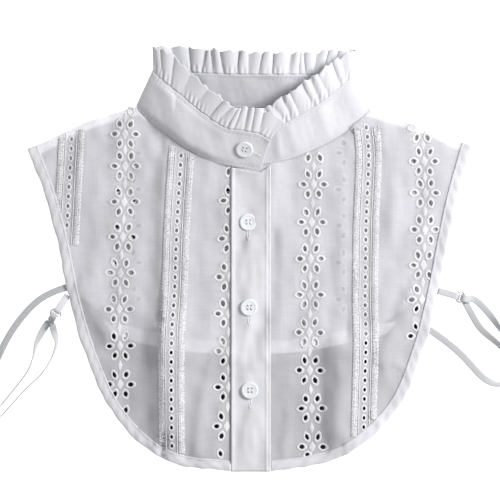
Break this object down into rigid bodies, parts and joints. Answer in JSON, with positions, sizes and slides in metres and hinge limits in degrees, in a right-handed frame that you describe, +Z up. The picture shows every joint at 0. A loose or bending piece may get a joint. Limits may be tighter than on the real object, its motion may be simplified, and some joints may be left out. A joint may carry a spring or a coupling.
{
  "type": "detachable collar",
  "caption": "Detachable blouse collar of sheer eyelet cotton with a ruffled stand band, button placket, short back panel and elastic side straps.",
  "frame": {"origin": "middle of the whole collar's footprint, on the surface that it lies on", "axes": "+X to the viewer's right across the collar, +Y from the hem towards the ruffle, +Z up from the surface"},
  "size_m": [0.4443, 0.3479, 0.0258],
  "materials": {
    "eyelet_cotton": "sheer white cotton voile with eyelet embroidery",
    "plain_cotton": "doubled white cotton voile, matte",
    "button_resin": "white resin with a soft gloss",
    "ring_metal": "small bright wire ring",
    "elastic": "ribbed pale grey elastic"
  },
  "bodies": {
    "root": {"back": "eyelet_cotton", "back_hem": "eyelet_cotton", "front_left": "eyelet_cotton", "front_right": "eyelet_cotton", "binding_left": "plain_cotton", "binding_right": "plain_cotton", "placket": "plain_cotton", "band_front_left": "plain_cotton", "band_back": "plain_cotton", "band_front_right": "plain_cotton", "ruffle_front_left": "plain_cotton", "ruffle_back": "plain_cotton", "ruffle_front_right": "plain_cotton", "button_1": "button_resin", "button_2": "button_resin", "button_3": "button_resin", "button_band": "button_resin", "ring_left": "ring_metal", "ring_right": "ring_metal", "strap_left": "elastic", "strap_right": "elastic", "tab_left": "plain_cotton", "tab_right": "plain_cotton"}
  },
  "joints": []
}
